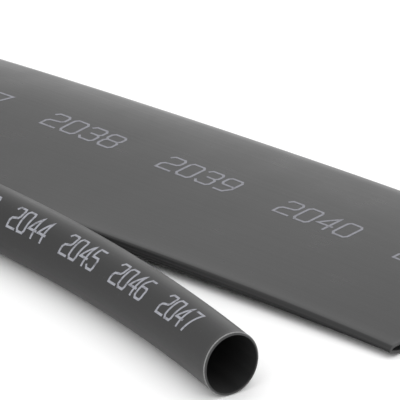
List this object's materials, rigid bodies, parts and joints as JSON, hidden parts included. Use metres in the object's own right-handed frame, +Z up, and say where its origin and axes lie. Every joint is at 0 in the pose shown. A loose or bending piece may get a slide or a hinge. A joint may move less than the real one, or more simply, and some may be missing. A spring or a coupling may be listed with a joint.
{
  "type": "heat shrink tubing",
  "caption": "Cut lengths of black heat-shrink tubing: a wide sleeve lying flat and a small round sleeve beside it, both open at each end.",
  "frame": {"origin": "middle of the wide sleeve's flat underside, on the surface that both sleeves lie on", "axes": "+X along the wide sleeve, +Z up from the surface; the small sleeve lies on the -Y side"},
  "size_m": [0.1065, 0.0475, 0.0061],
  "materials": {
    "wide_tube_plastic": "black cross-linked polyolefin, extruded, satin",
    "small_tube_plastic": "black cross-linked polyolefin, extruded, satin",
    "print_ink": "pale grey marking ink, matte"
  },
  "bodies": {
    "wide_sleeve": {"wide_tube": "wide_tube_plastic"},
    "small_sleeve": {"small_tube": "small_tube_plastic"}
  },
  "joints": [
    {"name": "small_sleeve_lift", "type": "slide", "parent": "wide_sleeve", "child": "small_sleeve", "axis": [0, 0, 1], "range_m": [0, 0.03]}
  ]
}
